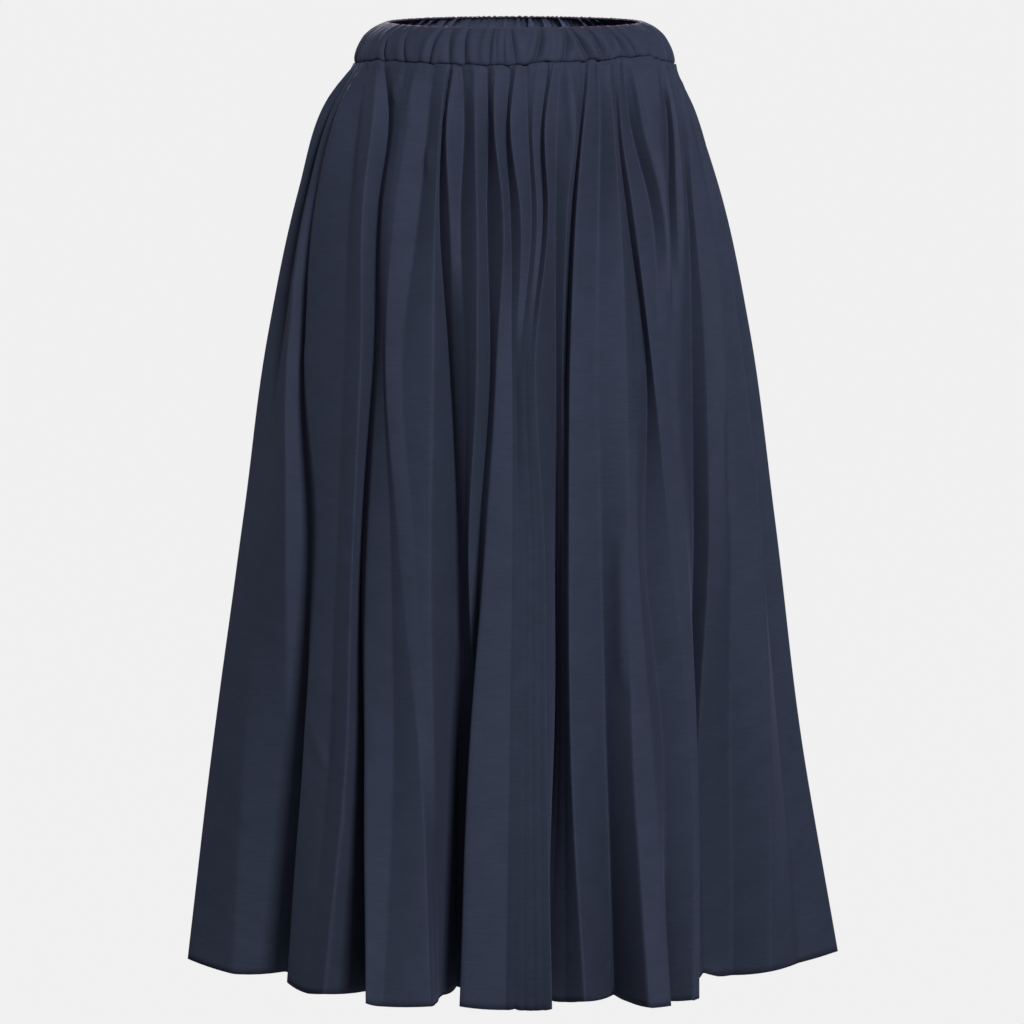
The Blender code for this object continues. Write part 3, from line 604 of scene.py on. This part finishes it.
def band_troughs():
    """The band's troughs all round: bearing from the front at the upper level and at the seam, and depth."""
    troughs = []
    for _, upper, seam, depth in BAND_FOLDS:
        troughs.append((math.asin(upper), math.asin(seam), depth / 1000))
    chance = random.Random(BAND_SEED)
    bearing, last = BACK_BEARINGS
    while bearing < last:
        lean = chance.uniform(-BACK_LEAN, BACK_LEAN)
        troughs.append((bearing, bearing + lean, chance.uniform(*BACK_TROUGHS)))
        bearing += chance.uniform(*BACK_SPACING)
    return troughs


def band_surface(bearing, share):
    """How far the casing's gathers raise its face at each bearing and share of the height."""
    raised = np.zeros_like(bearing)
    fade = np.sin(math.pi * (BAND_FADE[0] + BAND_FADE[1] * share)) ** BAND_FADE_SHAPE
    for upper, seam, depth in band_troughs():
        course = seam + (upper - seam) * share / BAND_UPPER
        away = (bearing - course + math.pi) % (2 * math.pi) - math.pi
        away /= TROUGH_HALF_WIDTH
        raised -= TROUGH_DEEPER * depth * np.exp(-np.abs(away) ** TROUGH_SHAPE) * fade
        for beside in (-SHOULDER_PLACE, SHOULDER_PLACE):
            raised += SHOULDER * depth * np.exp(-(((away - beside) / SHOULDER_WIDTH) ** 2)) * fade
    fine = np.zeros_like(bearing)
    for part, often, wander, slow, phase, lean in BAND_WAVES:
        fine += part * np.sin(bearing * often + wander * np.sin(slow * bearing + phase) + lean * share)
    raised += BAND_PUCKER * fine * (0.25 + 0.75 * np.abs(2 * share - 1) ** 1.5)
    return raised


def waistband(material):
    """The elastic casing: a puffed ring of cloth, pulled into gathers, with a soft fold at its top."""
    bearing = np.linspace(0, 2 * math.pi, BAND_COLUMNS, endpoint=False)
    shares = np.linspace(0, 1, BAND_ROWS) ** 0.9
    levels = [row[1] for row in BAND_PROFILE]
    wide = smooth_curve(levels, [row[2] for row in BAND_PROFILE], shares)
    deep = smooth_curve(levels, [row[3] for row in BAND_PROFILE], shares)
    around, up = np.meshgrid(bearing, shares, indexing="ij")
    raised = band_surface(around, up) - SEAM_TUCK * np.clip(1 - up / 0.1, 0, 1) ** 2
    xs = (wide + raised) * np.sin(around)
    ys = -(deep + raised) * np.cos(around)
    rise = seam_rise(xs[:, :1], ys[:, :1]) * (1 - shares) ** 1.5
    outer = np.stack([xs, ys, BAND_LOW + BAND_HEIGHT * up + rise], axis=2)
    inside = outer[:, ::-1].copy()
    thick = BAND_WALL * (1 - 0.25 * np.linspace(0, 1, BAND_ROWS))
    scale_x = ((wide[::-1] - thick) / wide[::-1])[None, :]
    scale_y = ((deep[::-1] - thick) / deep[::-1])[None, :]
    uneven = 0.6 + 0.3 * sum(np.sin(bearing * often + phase) for often, phase in INNER_WAVES)
    wander, slow = INNER_WANDER
    fine = (uneven * np.sin(bearing * INNER_GATHERS + wander * np.sin(bearing * slow)))[:, None]
    behind = np.clip(-np.cos(bearing), 0, 1)[:, None]
    inside[:, :, 0] *= scale_x * (1 + INNER_HEIGHT / HALF_WIDTHS[0] * fine)
    inside[:, :, 1] *= scale_y * (1 + INNER_HEIGHT / HALF_DEPTHS[0] * fine)
    inside[:, 0, 2] -= TOP_ROUNDING
    outer[:, :, 2] += TOP_BUMP * fine * behind * shares[None, :] ** 6
    inside[:, :, 2] += TOP_BUMP * fine * behind * shares[None, ::-1] ** 6
    ring = np.concatenate([outer, inside], axis=1)
    ring[:, :, 0] += BAND_ASIDE
    rows = ring.shape[1]
    faces = []
    for i in range(BAND_COLUMNS):
        n = (i + 1) % BAND_COLUMNS
        for j in range(rows):
            k = (j + 1) % rows
            faces.append((i * rows + j, n * rows + j, n * rows + k, i * rows + k))
    radius = (HALF_WIDTHS[0] + HALF_DEPTHS[0]) / 2
    height = np.concatenate([shares, 2.1 - shares[::-1]]) * BAND_HEIGHT
    uvs = np.stack(np.meshgrid(bearing * radius, -height, indexing="ij"), axis=2).reshape(-1, 2)
    return add_mesh("band_cloth", ring.reshape(-1, 3), faces, material, uvs)


def link(tree, out_node, out_name, in_node, in_name):
    tree.links.new(out_node.outputs[out_name], in_node.inputs[in_name])


def math_node(tree, operation, *values):
    """A Math node whose inputs are numbers or other nodes' outputs."""
    node = tree.nodes.new("ShaderNodeMath")
    node.operation = operation
    for i, value in enumerate(values):
        if isinstance(value, (int, float)):
            node.inputs[i].default_value = value
        else:
            tree.links.new(value, node.inputs[i])
    return node.outputs[0]


def mixed_colour(tree, factor, under, over, blend):
    """A colour mixed over another one, or multiplied by it."""
    mix = tree.nodes.new("ShaderNodeMix")
    mix.data_type = "RGBA"
    mix.blend_type = blend
    mix.inputs["B"].default_value = over
    tree.links.new(factor, mix.inputs["Factor"])
    tree.links.new(under, mix.inputs["A"])
    return mix.outputs["Result"]


def band_colour(tree, place, cloth):
    """The band's colour, with painted light: the inside painted paler, and a fine plum painted highlight
    along the top fold.
    """
    parts = tree.nodes.new("ShaderNodeSeparateXYZ")
    link(tree, place, "UV", parts, "Vector")
    height = math_node(tree, "DIVIDE", parts.outputs["Y"], -BAND_HEIGHT)
    above = math_node(tree, "GREATER_THAN", height, TOP_HIGHLIGHT_LINE[0])
    inside = math_node(tree, "GREATER_THAN", height, TOP_HIGHLIGHT_LINE[1])
    # painted light: the inside's colour is multiplied paler
    cloth = mixed_colour(tree, inside, cloth, (INSIDE_PAINTED_LIGHT, INSIDE_PAINTED_LIGHT, INSIDE_PAINTED_LIGHT, 1.0), "MULTIPLY")
    # painted highlight: a plum line mixed into the colour along the top fold's edge
    line = math_node(tree, "MULTIPLY", math_node(tree, "SUBTRACT", above, inside), TOP_HIGHLIGHT_SHARE)
    return mixed_colour(tree, line, cloth, PLUM_HIGHLIGHT, "MIX")


def twill(name, hem_line):
    """Fine navy twill: weft streaks, diagonal ribs, a soft nap and, on the panels, the hem's stitches."""
    material = bpy.data.materials.new(name)
    material.use_nodes = True
    tree = material.node_tree
    shader = tree.nodes["Principled BSDF"]
    shader.inputs["Base Color"].default_value = NAVY
    shader.inputs["Roughness"].default_value = 0.80
    shader.inputs["Specular IOR Level"].default_value = 0.16
    shader.inputs["Specular Tint"].default_value = (0.66, 0.74, 1.0, 1.0)
    shader.inputs["Sheen Weight"].default_value = 0.05
    shader.inputs["Sheen Roughness"].default_value = 0.45
    shader.inputs["Sheen Tint"].default_value = (0.45, 0.50, 0.90, 1.0)

    place = tree.nodes.new("ShaderNodeUVMap")
    place.uv_map = "cloth"
    streaks = tree.nodes.new("ShaderNodeMapping")
    streaks.inputs["Scale"].default_value = STREAK_SCALE
    link(tree, place, "UV", streaks, "Vector")
    weft = tree.nodes.new("ShaderNodeTexNoise")
    weft.inputs["Scale"].default_value = 1.0
    weft.inputs["Detail"].default_value = 3.0
    weft.inputs["Roughness"].default_value = 0.6
    link(tree, streaks, "Vector", weft, "Vector")

    mottle = tree.nodes.new("ShaderNodeTexNoise")
    mottle.inputs["Scale"].default_value = MOTTLE_SCALE
    mottle.inputs["Detail"].default_value = 4.0
    link(tree, place, "UV", mottle, "Vector")

    shade = tree.nodes.new("ShaderNodeMix")
    shade.data_type = "RGBA"
    shade.inputs["A"].default_value = tuple(SHADES[0] * value for value in NAVY[:3]) + (1.0,)
    shade.inputs["B"].default_value = tuple(SHADES[1] * value for value in NAVY[:3]) + (1.0,)
    mixed = math_node(tree, "MULTIPLY", weft.outputs["Fac"], 1 - MOTTLE_SHARE)
    mixed = math_node(tree, "MULTIPLY_ADD", mottle.outputs["Fac"], MOTTLE_SHARE, mixed)
    tree.links.new(mixed, shade.inputs["Factor"])
    colour = shade.outputs["Result"]
    if not hem_line:
        colour = band_colour(tree, place, colour)
    tree.links.new(colour, shader.inputs["Base Color"])

    ribs_turn = tree.nodes.new("ShaderNodeMapping")
    ribs_turn.inputs["Rotation"].default_value = (0, 0, RIB_TURN)
    link(tree, place, "UV", ribs_turn, "Vector")
    ribs = tree.nodes.new("ShaderNodeTexWave")
    ribs.inputs["Scale"].default_value = RIB_SCALE
    ribs.inputs["Distortion"].default_value = 0.4
    link(tree, ribs_turn, "Vector", ribs, "Vector")

    height = math_node(tree, "MULTIPLY", weft.outputs["Fac"], 0.6)
    height = math_node(tree, "MULTIPLY_ADD", ribs.outputs["Fac"], 0.25, height)
    if hem_line:
        parts = tree.nodes.new("ShaderNodeSeparateXYZ")
        link(tree, place, "UV", parts, "Vector")
        above = math_node(tree, "SUBTRACT", parts.outputs["Y"], CLOTH_RUN - HEM_TURN)
        above = math_node(tree, "DIVIDE", math_node(tree, "ABSOLUTE", above), STITCH_SIZE[1])
        along = math_node(tree, "PINGPONG", parts.outputs["X"], STITCH_PITCH)
        along = math_node(tree, "DIVIDE", along, STITCH_SIZE[0])
        above = math_node(tree, "POWER", above, 2.0)
        along = math_node(tree, "POWER", along, 2.0)
        apart = math_node(tree, "ADD", above, along)
        dimple = math_node(tree, "SUBTRACT", 1.0, apart)
        dimple = math_node(tree, "MAXIMUM", dimple, 0.0)
        height = math_node(tree, "MULTIPLY_ADD", dimple, -STITCH_DEPTH, height)
    bump = tree.nodes.new("ShaderNodeBump")
    bump.inputs["Strength"].default_value = BUMP[0]
    bump.inputs["Distance"].default_value = BUMP[1]
    tree.links.new(height, bump.inputs["Height"])
    link(tree, bump, "Normal", shader, "Normal")
    return material


def dress():
    """The cloth pieces, each on its solid."""
    panel_cloth = twill("panel_twill", True)
    front = cloth_panel("front_cloth", FRONT_FOLDS, -1, 3, panel_cloth)
    back = cloth_panel("back_cloth", back_folds(), 1, 8, panel_cloth)
    band = waistband(twill("band_twill", False))
    for piece, node in ((front, "skirt_front"), (back, "skirt_back"), (band, "waistband")):
        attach(piece, "root")
        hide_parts(node)


def backdrop_material():
    """The even pale grey of a studio backdrop, which lights nothing itself."""
    material = bpy.data.materials.new("backdrop")
    material.use_nodes = True
    shader = material.node_tree.nodes["Principled BSDF"]
    shader.inputs["Base Color"].default_value = (0.02, 0.02, 0.02, 1.0)
    shader.inputs["Roughness"].default_value = 0.9
    shader.inputs["Specular IOR Level"].default_value = 0.0
    shader.inputs["Emission Color"].default_value = (1.0, 1.0, 1.0, 1.0)
    shader.inputs["Emission Strength"].default_value = BACKDROP_GREY
    material.cycles.emission_sampling = "NONE"
    return material


def backdrop():
    """A round floor with a dome over it, seen by the camera and left out of the light on the cloth."""
    around, up = DOME_STEPS
    points = [(0.0, 0.0, 0.0)]
    for k in range(up):
        rise = math.pi / 2 * k / up
        for i in range(around):
            turn = 2 * math.pi * i / around
            level = DOME_RADIUS * math.cos(rise)
            points.append((level * math.cos(turn), level * math.sin(turn), DOME_RADIUS * math.sin(rise)))
    points.append((0.0, 0.0, DOME_RADIUS))
    faces = []
    for i in range(around):
        n = (i + 1) % around
        faces.append((0, 1 + i, 1 + n))
        for k in range(up - 1):
            low, high = 1 + k * around, 1 + (k + 1) * around
            faces.append((low + i, high + i, high + n, low + n))
        last = 1 + (up - 1) * around
        faces.append((last + i, len(points) - 1, last + n))
    studio_shell = add_mesh("backdrop", np.array(points) + (0, 0, FLOOR_LEVEL), faces, backdrop_material())
    studio_shell.visible_diffuse = False
    studio_shell.visible_glossy = False
    studio_shell.visible_shadow = False


def studio():
    """Soft light from all round, a key lamp before and one behind, and weak lamps low and at the sides."""
    world = bpy.data.worlds.new("studio")
    bpy.context.scene.world = world
    world.use_nodes = True
    sky = world.node_tree.nodes["Background"]
    sky.inputs["Color"].default_value = (BACKDROP_GREY, BACKDROP_GREY, BACKDROP_GREY, 1.0)
    sky.inputs["Strength"].default_value = SKY_STRENGTH
    for name, spot, size, power, colour in LAMPS:
        lamp = bpy.data.lights.new(name, "AREA")
        lamp.size = size
        lamp.energy = power
        lamp.color = colour
        holder = bpy.data.objects.new(name, lamp)
        holder.location = spot
        holder.rotation_euler = (Vector(LAMPS_AIM) - Vector(spot)).to_track_quat("-Z", "Y").to_euler()
        bpy.context.scene.collection.objects.link(holder)


def camera():
    lens = bpy.data.cameras.new("camera")
    lens.lens = CAMERA_LENS
    lens.sensor_width = 36.0
    lens.clip_end = 200.0
    holder = bpy.data.objects.new("camera", lens)
    holder.location = CAMERA_PLACE
    holder.rotation_euler = (math.pi / 2 - CAMERA_PITCH, 0, 0)
    bpy.context.scene.collection.objects.link(holder)
    bpy.context.scene.camera = holder


dress()
backdrop()
studio()
camera()
bpy.context.scene.view_settings.view_transform = "Standard"
